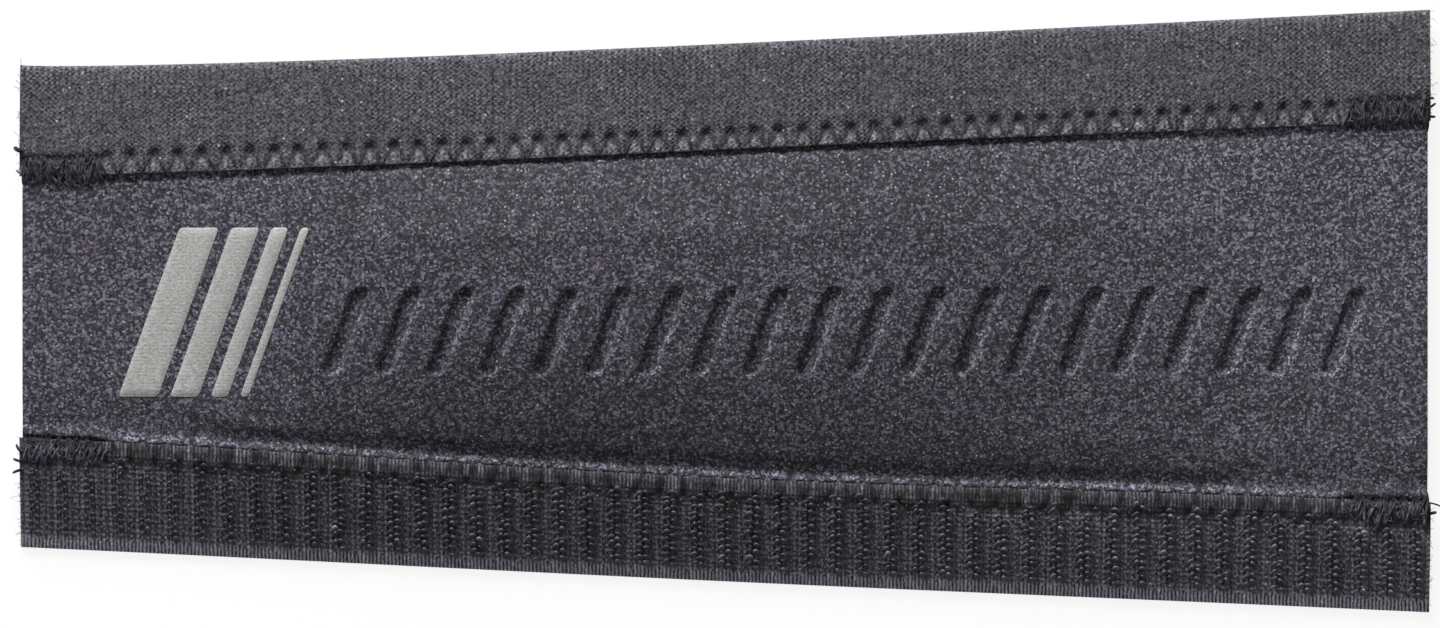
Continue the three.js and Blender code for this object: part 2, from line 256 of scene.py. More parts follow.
def deboss(x, y):
    lean = x - (y - DEBOSS_Y) * SLANT
    nearest = np.clip(np.round((lean - DEBOSS_FIRST_X) / DEBOSS_PITCH), 0, DEBOSS_COUNT - 1)
    sideways = lean - DEBOSS_FIRST_X - nearest * DEBOSS_PITCH
    lengthways = np.maximum(np.abs(y - DEBOSS_Y) - (DEBOSS_HEIGHT - DEBOSS_WIDTH) / 2, 0)
    outside = np.hypot(sideways, lengthways) - DEBOSS_WIDTH / 2
    return DEBOSS_DEPTH * smooth(-outside, -DEBOSS_LIP, DEBOSS_WALL)


def panel_height(x, y, level):
    from_hook = y - hook_inner(x)
    from_loop = loop_inner(x) - y
    flatter = smooth(np.abs(x), 84, 100)
    full = smooth(from_hook, 1.5, 4.9 + 5 * flatter) * smooth(from_loop, -1.35, 2.75)
    share = np.clip((from_hook - 1.6) / (from_hook + from_loop - 1.8), 0, 1)
    arch = crown(x, share)
    under = PINCH_BOTTOM * (1 - smooth(from_hook, 1.5, 6) * smooth(from_loop, 0.5, 5)) + arch
    under_tack = 1 - zigzag_span(x)
    crest = BEAD_CREST + 0.6 * under_tack
    bead_width = np.where(from_hook < crest, BEAD_NEAR, BEAD_FAR)
    bead = BEAD_HEIGHT * bump_at(from_hook, crest, bead_width) * (1 - 0.9 * edge_notch(x))
    bead = bead * (0.8 + 0.3 * waves_along(x, 5, 3)) * (0.7 + 0.3 * zigzag_span(x))
    bead = bead - 0.45 * under_tack * bump_at(from_hook, -0.2, 0.5)
    ripple = 0.1 * waves(x, y, 19, 5) * full
    ripple = ripple + 0.16 * waves(x, y, 2.6, 9) * fade(from_loop, 1, 3.5)
    top = PINCH_TOP + (PANEL_THICK - PINCH_TOP) * full + bead + arch - deboss(x, y) + ripple
    end = END_X - PANEL_END_INSET - np.abs(x)
    top = top - 0.22 * fade(end, 0, 0.9)
    under = under + 0.12 * fade(end, 0, 0.9)
    return under + (top - under) * level


# Mesh helpers

def raise_faces(bm, height):
    """Makes a flat shape a slab: its faces are repeated at a height and walls join the two."""
    made = bmesh.ops.extrude_face_region(bm, geom=bm.faces[:])
    raised = [v for v in made["geom"] if isinstance(v, bmesh.types.BMVert)]
    bmesh.ops.translate(bm, vec=(0, 0, height), verts=raised)


def closed_grid(columns, rows, rim_cuts):
    """Flat box of faces: whole numbers for column and row, and Z from 0 underneath to 1 on top."""
    bm = bmesh.new()
    bmesh.ops.create_grid(bm, x_segments=columns, y_segments=rows, size=1)
    bmesh.ops.scale(bm, vec=(columns / 2, rows / 2, 1), verts=bm.verts)
    bmesh.ops.translate(bm, vec=(columns / 2, rows / 2, 0), verts=bm.verts)
    raise_faces(bm, 1)
    rim = [e for e in bm.edges if abs(e.verts[0].co.z - e.verts[1].co.z) > 0.5]
    bmesh.ops.subdivide_edges(bm, edges=rim, cuts=rim_cuts, use_grid_fill=True)
    bmesh.ops.recalc_face_normals(bm, faces=bm.faces)
    return bm


def whole(values):
    return np.rint(values).astype(int)


def points_of(mesh):
    points = np.empty(len(mesh.vertices) * 3, np.float32)
    mesh.vertices.foreach_get("co", points)
    return points.reshape(-1, 3).astype(float)


def set_points(mesh, points):
    mesh.vertices.foreach_set("co", points.astype(np.float32).ravel())
    mesh.update()


def add_attribute(mesh, name, values):
    kind = "FLOAT_VECTOR" if values.ndim == 2 else "FLOAT"
    attribute = mesh.attributes.new(name, kind, "POINT")
    field = "vector" if values.ndim == 2 else "value"
    attribute.data.foreach_set(field, values.astype(np.float32).ravel())


def mesh_from(bm, name):
    mesh = bpy.data.meshes.new(name)
    bm.to_mesh(mesh)
    bm.free()
    return mesh


def show(name, data):
    thing = bpy.data.objects.new(name, data)
    bpy.context.scene.collection.objects.link(thing)
    return thing


def finish_piece(mesh, name, finish, replaces=(), sharp=None):
    """Turns a mesh in millimetres into a shown piece that rides on the wrap."""
    set_points(mesh, points_of(mesh) / METRE)
    mesh.shade_smooth()
    if sharp is not None:
        mesh.set_sharp_from_angle(angle=math.radians(sharp))
    piece = show(name, mesh)
    mesh.materials.append(finish)
    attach(piece, "root")
    if replaces:
        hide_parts(*replaces)
    return piece


def copies_of(bm, count):
    """Mesh with count copies of a small shape, all in one place, in order."""
    mesh = mesh_from(bm, "pattern")
    holder = show("pattern", mesh)
    array = holder.modifiers.new("copies", "ARRAY")
    array.count = count
    array.use_relative_offset = False
    array.use_constant_offset = True
    array.constant_offset_displace = (0, 0, 0)
    held = holder.evaluated_get(bpy.context.evaluated_depsgraph_get())
    many = bpy.data.meshes.new_from_object(held)
    bpy.data.objects.remove(holder)
    bpy.data.meshes.remove(mesh)
    return many


def add_tube(bm, path, radius, sides, plies=0, taper=0.0):
    """Closed tube along a path. Plies make it a twisted thread, and taper thins its last stretch."""
    path = np.asarray(path, float)
    steps = len(path) - 1
    tangent = np.gradient(path, axis=0)
    tangent /= np.linalg.norm(tangent, axis=1)[:, None]
    normal = np.empty_like(path)
    start = np.cross(tangent[0], (0.0, 0.0, 1.0) if abs(tangent[0][2]) < 0.9 else (1.0, 0.0, 0.0))
    for i in range(steps + 1):
        start = start - tangent[i] * (start @ tangent[i])
        start = start / np.linalg.norm(start)
        normal[i] = start
    binormal = np.cross(tangent, normal)
    length = np.concatenate([[0], np.cumsum(np.linalg.norm(np.diff(path, axis=0), axis=1))])
    grid = bmesh.ops.create_grid(bm, x_segments=steps, y_segments=sides, size=1)["verts"]
    co = np.array([v.co for v in grid])
    i = whole((co[:, 0] + 1) / 2 * steps)
    j = whole((co[:, 1] + 1) / 2 * sides) % sides
    angle = 2 * np.pi * j / sides
    thick = np.full(len(i), float(radius))
    if plies:
        thick *= 0.87 + 0.17 * np.cos(plies * angle - 2 * np.pi * length[i] / PLY_TURN)
    if taper:
        thick *= np.sqrt(np.clip((length[-1] - length[i]) / taper, 0.02, 1))
    placed = path[i] + thick[:, None] * (
        np.cos(angle)[:, None] * normal[i] + np.sin(angle)[:, None] * binormal[i]
    )
    for vert, point in zip(grid, placed):
        vert.co = point
    bmesh.ops.remove_doubles(bm, verts=grid, dist=1e-4)


def close_tubes(bm, sides):
    bmesh.ops.holes_fill(bm, edges=[e for e in bm.edges if e.is_boundary], sides=sides)
    bmesh.ops.recalc_face_normals(bm, faces=bm.faces)


# Materials

class Finish:
    """A material being put together: each call adds a node and gives its output."""

    def __init__(self, name, **sockets):
        self.material = bpy.data.materials.new(name)
        self.material.use_nodes = True
        self.nodes = self.material.node_tree.nodes
        self.links = self.material.node_tree.links
        self.shader = self.nodes["Principled BSDF"]
        for key, value in sockets.items():
            self.shader.inputs[key.replace("_", " ")].default_value = value

    def add(self, kind, inputs, **settings):
        node = self.nodes.new("ShaderNode" + kind)
        for key, value in settings.items():
            setattr(node, key, value)
        for key, value in inputs.items():
            if isinstance(value, bpy.types.NodeSocket):
                self.links.new(value, node.inputs[key])
            else:
                node.inputs[key].default_value = value
        return node

    def place(self, stretch=(1, 1, 1)):
        """Object coordinates in millimetres, a pattern longer along X where stretch is under 1."""
        own = self.add("TexCoord", {}).outputs["Object"]
        size = tuple(METRE * s for s in stretch)
        return self.add("Mapping", {"Vector": own, "Scale": size}).outputs["Vector"]

    def stored(self, name, field="Fac"):
        return self.add("Attribute", {}, attribute_name=name).outputs[field]

    def noise(self, place, size, detail=2.0, roughness=0.5):
        inputs = {"Vector": place, "Scale": 1 / size, "Detail": detail, "Roughness": roughness}
        return self.add("TexNoise", inputs).outputs["Fac"]

    def cells(self, place, size):
        """Distance from the middle of small cells, and three random values for each cell."""
        made = self.add("TexVoronoi", {"Vector": place, "Scale": 1 / size})
        return made.outputs["Distance"], *self.parts(made.outputs["Color"])

    def glints(self, place, size, reach, core, rarity):
        """1 in the core of a few cells, falling to 0 at their reach, 0 in the other cells."""
        distance, pick, _, _ = self.cells(place, size)
        return self.times(self.between(distance, reach, core), self.between(pick, rarity, 1.0))

    def parts(self, vector):
        made = self.add("SeparateXYZ", {"Vector": vector})
        return [made.outputs[key] for key in "XYZ"]

    def math(self, operation, first, second=0.0, third=0.0):
        return self.add("Math", {0: first, 1: second, 2: third}, operation=operation).outputs["Value"]

    def total(self, *values):
        result = values[0]
        for value in values[1:]:
            result = self.math("ADD", result, value)
        return result

    def times(self, *values):
        result = values[0]
        for value in values[1:]:
            result = self.math("MULTIPLY", result, value)
        return result

    def between(self, value, low, high, to_low=0.0, to_high=1.0, clamp=True):
        inputs = {"Value": value, "From Min": low, "From Max": high, "To Min": to_low, "To Max": to_high}
        return self.add("MapRange", inputs, clamp=clamp).outputs["Result"]

    def at_least(self, value, floor):
        return self.math("MAXIMUM", value, floor)

    def swing(self, value, period):
        """From -1 to 1 and back over each period."""
        return self.math("COSINE", self.math("MULTIPLY", value, 2 * math.pi / period))

    def wave(self, value, period):
        """From 0 to 1 and back over each period."""
        return self.math("MULTIPLY_ADD", self.swing(value, period), 0.5, 0.5)

    def wandering(self, value, place, size, reach):
        """A coordinate along the cloth that wanders a little, as yarn does."""
        return self.math("MULTIPLY_ADD", self.noise(place, size, 1.0), reach, value)

    def mix(self, share, first, second):
        return self.add("Mix", {0: share, 6: first, 7: second}, data_type="RGBA").outputs[2]

    def shade(self, colour, factor):
        """A colour made lighter or darker by a factor."""
        grey = self.add("CombineXYZ", {"X": factor, "Y": factor, "Z": factor}).outputs["Vector"]
        if not isinstance(colour, bpy.types.NodeSocket):
            colour = colour[:3]
        return self.add("VectorMath", {0: colour, 1: grey}, operation="MULTIPLY").outputs["Vector"]

    def paint(self, colour):
        self.links.new(colour, self.shader.inputs["Base Color"])

    def rough(self, value):
        self.links.new(value, self.shader.inputs["Roughness"])

    def relief(self, height, depth):
        bump = self.add("Bump", {"Height": height, "Distance": depth / METRE, "Strength": 1.0})
        self.links.new(bump.outputs["Normal"], self.shader.inputs["Normal"])


def jersey_finish():
    f = Finish("neoprene_jersey", Roughness=0.82, Sheen_Weight=0.08, Sheen_Roughness=0.5,
               Specular_IOR_Level=0.3)
    place = f.place()
    grain = f.noise(place, 0.38, 1.2, 0.65)
    _, speck, hue, _ = f.cells(place, 0.4)
    fine = f.times(speck, speck, speck)
    factor = f.at_least(f.total(f.times(fine, 2.6), f.times(grain, 2.3), -0.86), 0.16)
    slow = f.total(f.times(f.noise(place, 14), 0.12), f.times(f.noise(place, 1.7, 1.0), 0.04), 0.92)
    factor = f.times(factor, slow, f.stored("tone"))
    cloth = f.shade(f.mix(hue, (0.0705, 0.057, 0.069, 1), (0.0572, 0.061, 0.086, 1)), factor)
    # Painted glints: small bright specks of varied hue standing in for the fibres' highlights.
    glint = f.glints(place, 0.72, 0.34, 0.1, 0.6)
    sparkle = f.mix(hue, (0.5, 0.44, 0.38, 1), (0.37, 0.43, 0.52, 1))
    cloth = f.mix(f.times(glint, 0.9), cloth, sparkle)
    foam = f.shade((0.03, 0.03, 0.034, 1), f.between(f.noise(place, 0.35), 0.3, 0.7, 0.6, 1.5))
    f.paint(f.mix(f.stored("core"), cloth, foam))
    f.relief(f.total(grain, f.times(fine, 0.4), f.times(glint, 0.3)), 0.1)
    return f.material


def loop_knit_finish():
    f = Finish("loop_knit", Roughness=0.85, Sheen_Weight=0.1, Sheen_Roughness=0.5,
               Specular_IOR_Level=0.3)
    place = f.place()
    along_mm, across_mm, _ = f.parts(f.stored("cloth", "Vector"))
    along_mm = f.wandering(along_mm, place, 2.6, 0.5)
    across_mm = f.wandering(across_mm, place, 3.4, 0.9)
    wale = f.wave(along_mm, WALE)
    hatch = f.times(f.swing(along_mm, WALE), f.swing(across_mm, COURSE))
    ring = f.total(f.times(hatch, 0.22), f.times(wale, 0.3), -0.15)
    ring = f.times(ring, f.between(f.noise(place, 12, 1.0), 0.3, 0.65, 0.4, 1.4))
    grain = f.noise(place, 0.46, 1.0, 0.6)
    _, speck, _, _ = f.cells(place, 0.4)
    fine = f.times(speck, speck, 1.3)
    ribbed = f.times(f.stored("rib"), wale, 0.3)
    factor = f.at_least(f.total(ring, fine, f.times(grain, 3.0), ribbed, -1.0), 0.16)
    slow = f.total(f.times(f.noise(place, 9), 0.5), f.times(f.noise(place, 1.7, 1.0), 0.4), 0.55)
    factor = f.times(factor, slow, f.stored("tone"))
    blue = f.between(f.noise(place, 1.1, 1.0), 0.42, 0.68)
    cloth = f.shade(f.mix(blue, (0.0615, 0.062, 0.068, 1), (0.06, 0.0595, 0.077, 1)), factor)
    # Painted glints: a few bright specks in the knit, standing in for highlights.
    glint = f.glints(place, 1.15, 0.26, 0.08, 0.7)
    f.paint(f.mix(f.times(glint, 0.95), cloth, (0.42, 0.44, 0.47, 1)))
    f.relief(f.total(ring, grain), 0.12)
    return f.material


def hook_ground_finish():
    f = Finish("hook_tape_weave", Roughness=0.7, Specular_IOR_Level=0.4)
    place = f.place()
    along_mm, across_mm, _ = f.parts(f.stored("cloth", "Vector"))
    along_mm = f.wandering(along_mm, place, 1.6, 0.3)
    warp = f.wave(along_mm, HOOK_RIB)
    weft = f.wave(across_mm, WEFT)
    grain = f.noise(f.place((1.2, 0.7, 1)), 0.36, 1.0, 0.6)
    rib = f.stored("rib")
    dots = f.times(f.wave(along_mm, HOOK_PITCH / 4), f.wave(across_mm, 0.96))
    plain = f.total(f.times(warp, 0.2), f.times(weft, 0.12), f.times(dots, 0.75), 0.08)
    ribbed = f.math("MULTIPLY_ADD", warp, 1.5, -0.22)
    weave = f.total(f.times(rib, ribbed), f.times(f.math("SUBTRACT", 1.0, rib), plain))
    tone = f.total(f.times(weave, 0.6), f.times(grain, 1.1))
    factor = f.at_least(f.between(tone, 0.44, 1.1, 0.05, 2.1, clamp=False), 0.12)
    f.paint(f.shade((0.031, 0.031, 0.037, 1), f.times(factor, f.stored("tone"))))
    f.relief(tone, 0.12)
    return f.material


def hook_finish():
    f = Finish("hook_filament", Roughness=0.48)
    place = f.place()
    grain = f.noise(place, 0.8, 1.0)
    factor = f.total(f.times(f.noise(place, 5), 0.9), f.times(grain, 1.6), -0.25)
    factor = f.times(f.at_least(factor, 0.25), f.stored("tone"))
    f.paint(f.shade((0.058, 0.057, 0.068, 1), factor))
    f.rough(f.between(grain, 0.3, 0.7, 0.4, 0.6))
    return f.material


def pile_finish():
    f = Finish("loop_pile", Roughness=0.8, Sheen_Weight=0.2)
    f.paint(f.shade((0.06, 0.06, 0.068, 1), f.total(f.noise(f.place(), 0.8), 0.5)))
    return f.material


def thread_finish():
    f = Finish("sewing_thread", Roughness=0.62, Sheen_Weight=0.15)
    fibre = f.noise(f.place((1.3, 0.8, 1)), 0.2, 2.0, 0.7)
    patch = f.between(f.noise(f.place(), 1.1, 1.0), 0.35, 0.75, 0.35, 3.0, clamp=False)
    tone = f.stored("tone")
    factor = f.times(f.total(f.times(fibre, 1.5), 0.25), patch, tone)
    f.paint(f.shade((0.019, 0.0182, 0.0275, 1), f.at_least(factor, 0.2)))
    shine = f.between(tone, 0.3, 1.1, 0.08, 0.5)
    f.links.new(shine, f.shader.inputs["Specular IOR Level"])
    f.relief(fibre, 0.06)
    return f.material


def film_finish():
    f = Finish("reflective_film", Roughness=0.48, Metallic=0.05)
    place = f.place()
    grain = f.noise(f.place((0.8, 1.1, 1)), 0.42, 1.0, 0.6)
    x, y, _ = f.parts(place)
    mesh = f.total(f.wave(x, 0.72), f.wave(y, 0.66))
    factor = f.total(f.times(grain, 0.9), f.times(f.noise(place, 4), 0.14), f.times(mesh, 0.04), 0.4)
    pit = f.between(f.noise(place, 0.5, 1.0), 0.68, 0.8)
    colour = f.shade((0.4, 0.395, 0.388, 1), factor)
    f.paint(f.mix(f.times(pit, 0.45), colour, (0.2, 0.2, 0.2, 1)))
    f.rough(f.between(grain, 0.3, 0.7, 0.4, 0.62))
    f.relief(f.total(grain, f.times(mesh, 0.1)), 0.05)
    return f.material


# Panel

def stops(*runs):
    """Places from runs of (start, end, step), each run's steps made even."""
    places = [runs[0][0]]
    for start, end, step in runs:
        count = max(1, round((end - start) / step))
        places += np.linspace(start, end, count + 1)[1:].tolist()
    return np.array(places)


def panel_columns():
    """Places along X at the debossed row's middle line, close together at the bars' walls."""
    end = END_X - PANEL_END_INSET
    half = DEBOSS_WIDTH / 2
    wall = [-half - DEBOSS_LIP, -half - 0.05, -half + 0.16, -half + DEBOSS_WALL]
    across_bar = wall + [-0.5, 0.5] + [-place for place in reversed(wall)]
    gap = np.linspace(-wall[0], DEBOSS_PITCH + wall[0], 8)[1:-1].tolist()
    places = stops((-end, DEBOSS_FIRST_X + wall[0] - 0.8, 0.95)).tolist()
    for i in range(DEBOSS_COUNT):
        middle = DEBOSS_FIRST_X + i * DEBOSS_PITCH
        places += [middle + place for place in across_bar]
        if i < DEBOSS_COUNT - 1:
            places += [middle + place for place in gap]
    last = places[-1]
    return np.array(places + stops((last, end, 0.85)).tolist()[1:])


def panel_rows():
    """Rows across the panel, as (share of the hook seam, share of the loop seam, offset in Y)."""
    reach = DEBOSS_HEIGHT / 2
    rows = [(1, 0, q) for q in stops((-LAP, -0.4, 1.1), (-0.4, 2.2, 0.22), (2.2, 8, 0.58))]
    low = DEBOSS_Y - reach - 0.6
    high = DEBOSS_Y + reach + 0.6
    lower = np.linspace(0, 1, 17)[1:-1]
    rows += [(1 - t, 0, (1 - t) * 8 + t * low) for t in lower]
    fine = stops((low, low + 2.4, 0.3), (low + 2.4, high - 2.4, 0.95), (high - 2.4, high, 0.3))
    rows += [(0, 0, y) for y in fine]
    upper = np.linspace(0, 1, 23)[1:-1]
    rows += [(0, t, (1 - t) * high - t * 6) for t in upper]
    rows += [(0, 1, -p) for p in stops((-6, -0.6, 0.6), (-0.6, LAP, 0.9)) * -1]
    return np.array(rows)


def panel_lean(x):
    """Share of the slant that a column of faces follows."""
    return fade(np.abs(x), 106, 124)


def make_panel(finish):
    columns = panel_columns()
    rows = panel_rows()
    rows = rows[np.argsort(rows @ np.array([hook_inner(0.0), loop_inner(0.0), 1.0]))]
    mesh = mesh_from(closed_grid(len(columns) - 1, len(rows) - 1, 4), "panel")
    grid = points_of(mesh)
    upright = columns[whole(grid[:, 0])]
    row = rows[whole(grid[:, 1])]
    level = grid[:, 2]
    x = upright
    for _ in range(3):
        y = row[:, 0] * hook_inner(x) + row[:, 1] * loop_inner(x) + row[:, 2]
        x = upright + panel_lean(x) * (y - DEBOSS_Y) * SLANT
    set_points(mesh, np.stack([x, y, panel_height(x, y, level)], axis=1))
    rim = (level > 0.15) & (level < 0.85)
    add_attribute(mesh, "core", rim.astype(float))
    add_attribute(mesh, "tone", panel_wear_and_painted_shade(x, y))
    piece = finish_piece(mesh, "panel_cloth", finish, ["neoprene_panel"], sharp=50)


def panel_wear_and_painted_shade(x, y):
    """How light the jersey is: lighter at its worn ends, and painted light and shade elsewhere: darker over
    the middle of the length towards both seams, lighter towards the wide end, painted light on the bead, at
    the foot of the rise behind it and in the loop tape's shadow, painted shade behind the bead, at the
    needle points, in the fold at the hook tape and where the hook tacks start.
    """
    worn_end = fade(END_X - np.abs(x), 0.3, 1.6)
    from_hook = y - hook_inner(x)
    share = np.clip(from_hook / (loop_inner(x) - hook_inner(x)), 0, 1)
    # Painted shade and light standing in for the crown's shading: darker over the middle of the length
    # towards both seams, lighter towards the wide end.
    soft = smooth(x, -90, -65) * fade(x, 35, 80)
    painted_light_and_shade = 1.12 - soft * (0.22 * fade(share, 0.25, 0.5) + 0.39 * smooth(share, 0.62, 0.82))
    painted_light_and_shade = painted_light_and_shade + 0.3 * smooth(x, 60, 105) * smooth(share, 0.2, 0.6)
    painted_light_and_shade = painted_light_and_shade - 0.06 * smooth(x, -110, -60) * fade(x, 50, 90) * smooth(share, 0.66, 0.9)
    # Painted shade at the needle points past the hook tape's edge, where the bead is notched.
    needle_hole_shade = edge_notch(x) * bump_at(from_hook, 0.3, 0.8)
    ragged = 1 + 1.2 * waves_along(x, 2.1, 7)
    lit_bead = bump_at(from_hook, 0.92, 0.5) * (0.75 * zigzag_span(x) - 0.15) * ragged
    # Painted shade in the fold between the bead and the hook tape, stronger towards the ends.
    crease_shade = bump_at(from_hook, -0.05, 0.3) * (0.25 + 0.5 * smooth(np.abs(x), 40, 85))
    # Painted shade on the slope behind the bead, more towards the wide end.
    shade_behind_bead = (0.2 + 0.2 * smooth(x, 20, 80)) * bump_at(from_hook, 6.0, 3.4)
    shade_behind_bead = shade_behind_bead * smooth(x, -98, -80) * fade(x, 86, 98)
    # Painted light at the foot of the rise behind the bead, over the middle of the length.
    foot = 0.3 * bump_at(from_hook, 2.7, 1.4) * smooth(x, -80, -60) * fade(x, 40, 70)
    tone = (painted_light_and_shade + 0.08 * worn_end + lit_bead - shade_behind_bead + foot) * (1 - 0.75 * needle_hole_shade) * (1 - crease_shade)
    # Painted shade where the hook tacks start, in the groove they pull into the panel.
    tone = tone * (1 - 0.7 * tack_pull(x, -from_hook, HOOK_TACKS, 0.9, at_start=True))
    # Painted light in the loop tape's shadow, along the loop seam.
    return tone * (1 + 0.9 * bump_at(loop_inner(x) - y, 0.5, 0.6) * zigzag_span(x))


# Tapes

def needle_dimple(x, distance, reach, width, tall=1.0):
    """1 at each needle point inside a tape, falling to 0 around it."""
    sideways = stitch_phase(x) * STITCH_PERIOD
    return bump_at(np.hypot(sideways, (distance - reach) / tall), 0, width) * zigzag_span(x)


def needle_shade_patch(x, distance):
    """1 where a needle point draws the loop tape down, marking the painted shade there: sharp past the
    point, fading to the edge.
    """
    size = 1 + 0.3 * waves_along(x, 9, 15)
    past = distance - (LOOP_NEEDLE_REACH - 0.5)
    tall = np.where(past > 0, 0.55, 1.35)
    sideways = stitch_phase(x) * STITCH_PERIOD / 1.05
    return bump_at(np.hypot(sideways, past / tall) / size, 0, 1) * zigzag_span(x)


def leg_phase(distance, reach):
    """Where a zigzag leg stands in the stitch at a distance from the tape's edge."""
    return 0.5 * np.clip((reach - distance) / (reach + NEEDLE_OVERSHOOT), 0, 1)


def leg_shade_mask(x, distance, width):
    """1 along the legs of the loop seam's zigzag, falling to 0 beside them: where painted shade darkens the
    tape along the legs.
    """
    sideways = (np.abs(stitch_phase(x)) - leg_phase(distance, LOOP_NEEDLE_REACH)) * STITCH_PERIOD
    return bump_at(sideways, 0, width) * (distance < LOOP_NEEDLE_REACH + 0.3) * zigzag_span(x)


def between_legs(x, distance, reach):
    """Height of the swell between zigzag legs: under a needle point, and between two of them."""
    legs = leg_phase(distance, reach)
    phase = np.abs(stitch_phase(x))
    under = np.clip(1 - (phase / np.maximum(legs, 1e-3)) ** 4, 0, 1) * (distance < reach)
    beside = np.clip(1 - ((0.5 - phase) / np.maximum(0.5 - legs, 1e-3)) ** 2, 0, 1) * (distance >= 0)
    return under * zigzag_span(x), beside * zigzag_span(x)


def loop_tape_top(x, distance):
    slope = np.clip((distance - LOOP_NEEDLE_REACH) / (TAPE_WIDTH - LOOP_NEEDLE_REACH), 0, 1)
    ground = LAP_TOP - (LAP_TOP - TAPE_BASE - PILE) * slope
    under, beside = between_legs(x, distance, LOOP_NEEDLE_REACH)
    swell = (0.36 * under + 0.2 * beside) * fade(distance, 2.2, 4.4)
    dimple = 0.72 * needle_dimple(x, distance, LOOP_NEEDLE_REACH - 0.9, 0.9, 1.3)
    dimple = dimple + 0.35 * tack_pull(x, distance, LOOP_TACKS, 0.8)
    edge = 0.06 * fade(distance, 0, 0.4) + 0.2 * outer_part(distance, 0.9, 0)
    ripple = 0.07 * waves(x, distance, 17, 11) * smooth(distance, 4, 8)
    return ground + swell - dimple - edge + ripple


def hook_tape_top(x, distance):
    slope = np.clip((distance - HOOK_NEEDLE_REACH) / (TAPE_WIDTH - HOOK_NEEDLE_REACH), 0, 1)
    ground = LAP_TOP - (LAP_TOP - TAPE_BASE) * slope
    under, beside = between_legs(x, distance, HOOK_NEEDLE_REACH)
    swell = 0.2 * (under + beside) * fade(distance, 2, 4)
    dimple = 0.4 * needle_dimple(x, distance, HOOK_NEEDLE_REACH, 0.55)
    dimple = dimple + 0.12 * tack_pull(x, distance, HOOK_TACKS, 0.8)
    edge = 0.25 * fade(distance, 0, 0.9) + 0.1 * outer_part(distance, 0.5, 0)
    return ground + swell - dimple - edge


def tape_top(side, x, distance):
    return (loop_tape_top if side is LOOP_SIDE else hook_tape_top)(x, distance)


def make_tape(name, side, columns, distances, relief, tone, rib, finish, node):
    """Tape of a grid of faces, its top raised and lowered by turns so that each column is a rib."""
    mesh = mesh_from(closed_grid(len(columns) - 1, len(distances) - 1, 1), name)
    grid = points_of(mesh)
    column = whole(grid[:, 0])
    x, distance, level = columns[column], distances[whole(grid[:, 1])], grid[:, 2]
    parity = np.where(column % 2 == 0, 1.0, -1.0)
    top = tape_top(side, x, distance) + relief(x, distance) * parity * (level > 0.9)
    z = top - TAPE_BASE * (1 - level)
    rim_bulge = 0.12 * (np.abs(level - 0.5) < 0.2)
    outwards = np.sign(distance - TAPE_WIDTH / 2) * rim_bulge * ((distance <= 0) | (distance >= TAPE_WIDTH))
    endwards = np.sign(x) * rim_bulge * (np.abs(x) >= END_X - 1e-6)
    wobble = 0.07 * waves_along(x, 2.3, 21) * (distance <= 0.4)
    overhang = 0
    if side is LOOP_SIDE:
        overhang = (LOOP_OVERHANG - 0.33 * bump_at(x, 25, 55)) * fade(distance, 0, 1.2)
    y = across_tape(side, x, distance + outwards + wobble - overhang)
    set_points(mesh, np.stack([x + endwards, y, z], axis=1))
    add_attribute(mesh, "cloth", np.stack([x, distance, level], axis=1))
    add_attribute(mesh, "tone", tone(x, distance))
    add_attribute(mesh, "rib", rib(x, distance))
    return finish_piece(mesh, name, finish, [node], sharp=60)


def make_loop_tape(finish):
    columns = np.linspace(-END_X, END_X, 2 * WALES + 1)
    distances = stops((0, 5.4, 0.3), (5.4, TAPE_WIDTH - 1.2, 0.62), (TAPE_WIDTH - 1.2, TAPE_WIDTH, 0.4))

    def relief(x, distance):
        return 0.05 + 0.03 * outer_part(distance, 3, 0)

    def tone(x, distance):
        under, beside = between_legs(x, distance, LOOP_NEEDLE_REACH)
        petals = (under + 0.55 * beside) * fade(distance, 1.0, 3.3)
        uneven = 1 + 0.3 * waves_along(x, 5.3, 17)
        pulled = zigzag_span(x) * fade(distance, 2.2, 4.8)
        ragged = 1 + 0.4 * waves(x, distance, 1.7, 19)
        # Painted shade around each needle point of the loop seam.
        needle_point_shade = np.clip(needle_shade_patch(x, distance) * ragged, 0, 1)
        # Painted shade along the zigzag legs, a little lighter towards the tape's edge.
        legs = leg_shade_mask(x, distance, 0.62) * (0.7 + 0.15 * smooth(distance, 1.2, 2.8))
        outer = outer_part(distance, 2.4, 0.6)
        tone = 1.04 + 0.06 * pulled + 0.8 * petals * uneven * ragged + 0.08 * outer
        # Painted shade where the tack throws end and pull the tape down.
        tone = tone * (1 - 0.5 * tack_pull(x, distance, LOOP_TACKS, 0.9))
        return tone * (1 - 0.66 * needle_point_shade) * (1 - np.clip(legs * ragged, 0, 0.75))

    def rib(x, distance):
        return np.maximum(fade(distance, 1.8, 3.4), outer_part(distance, 3.2, 2.2))

    return make_tape("loop_tape_knit", LOOP_SIDE, columns, distances, relief, tone, rib, finish,
                     "loop_tape")


